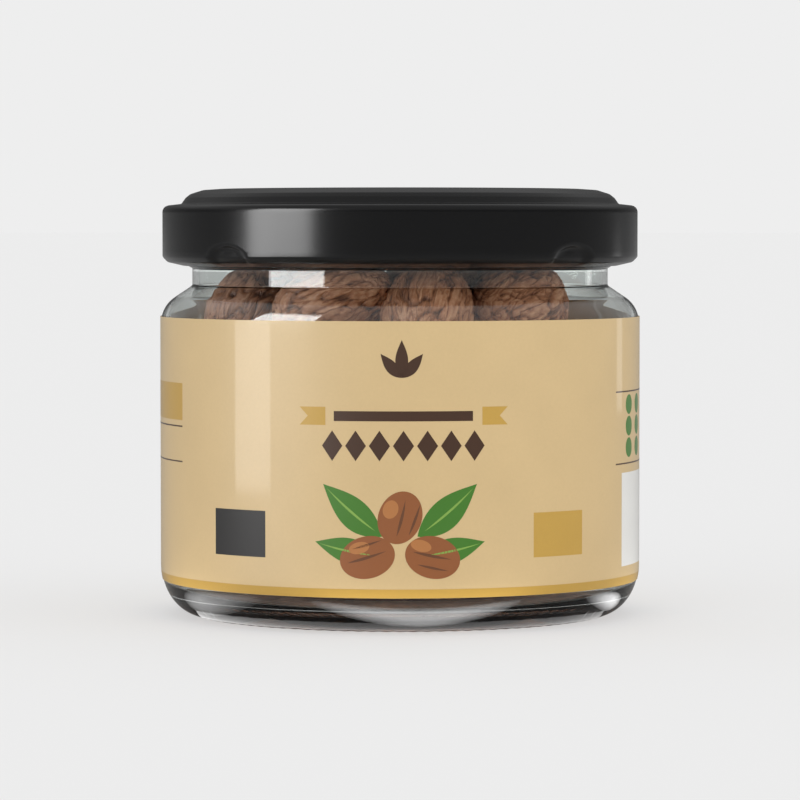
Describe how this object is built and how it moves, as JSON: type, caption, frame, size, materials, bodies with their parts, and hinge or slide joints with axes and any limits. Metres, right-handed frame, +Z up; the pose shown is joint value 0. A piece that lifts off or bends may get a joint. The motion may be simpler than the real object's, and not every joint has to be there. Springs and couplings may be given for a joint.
{
  "type": "jar of whole nutmegs",
  "caption": "Squat round clear glass jar, shut with a black twist-off lid, wrapped in a tan paper label with a gold lower edge and filled with whole nutmegs.",
  "frame": {"origin": "centre of the jar's standing ring, on the surface it stands on", "axes": "+Z up along the jar's axis, -Y out of the label's front, +X to the right as seen from the front"},
  "size_m": [0.0864, 0.0863, 0.0764],
  "materials": {
    "glass": "clear, fire-polished",
    "lid": "satin black lacquer",
    "label": "coated, semi-gloss",
    "nutmeg": "matt, wrinkled"
  },
  "bodies": {
    "root": {"jar": "glass", "lid": "lid", "label": "label", "nutmegs": "nutmeg"}
  },
  "joints": []
}
